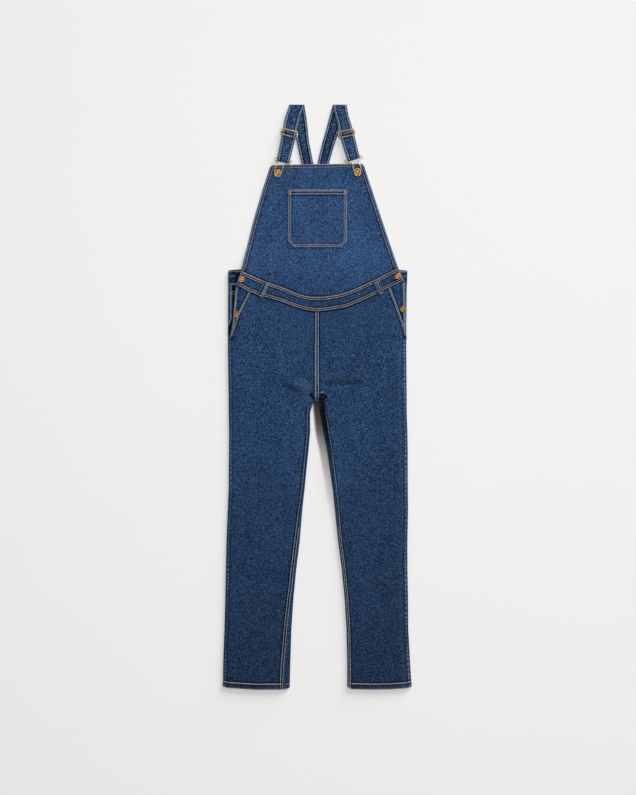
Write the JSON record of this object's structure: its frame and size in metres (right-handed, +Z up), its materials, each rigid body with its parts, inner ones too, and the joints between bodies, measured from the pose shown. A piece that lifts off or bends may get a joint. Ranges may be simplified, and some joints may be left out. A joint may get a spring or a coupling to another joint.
{
  "type": "denim dungarees",
  "caption": "Denim dungarees laid flat, front up: bib with a patch pocket, shoulder straps with wire sliders and hooks, side openings with buttons, slant pockets and straight legs.",
  "frame": {"origin": "middle of the garment's bounding box in plan, on the surface it lies on", "axes": "+Y towards the straps (top of the garment), +X to the viewer's right, +Z up from the surface, out of the front"},
  "size_m": [0.4827, 1.496, 0.0144],
  "materials": {
    "denim": "washed blue denim twill, matt",
    "brass": "worn gold-coloured brass"
  },
  "bodies": {
    "root": {"front_leg_left": "denim", "front_leg_right": "denim", "back_leg_left": "denim", "back_leg_right": "denim", "back_yoke_left": "denim", "back_yoke_right": "denim", "pocket_facing_left": "denim", "pocket_facing_right": "denim", "side_placket_left": "denim", "side_placket_right": "denim", "belt_loop_left": "denim", "belt_loop_right": "denim", "strap_left": "denim", "strap_right": "denim", "back_waistband": "denim", "front_waistband": "denim", "bib": "denim", "bib_pocket": "denim", "strap_slider_left": "brass", "strap_slider_right": "brass", "strap_hook_left": "brass", "strap_hook_right": "brass", "bib_button_left": "brass", "bib_button_right": "brass", "waist_button_left": "brass", "waist_button_right": "brass", "placket_button_left": "brass", "placket_button_right": "brass"}
  },
  "joints": []
}
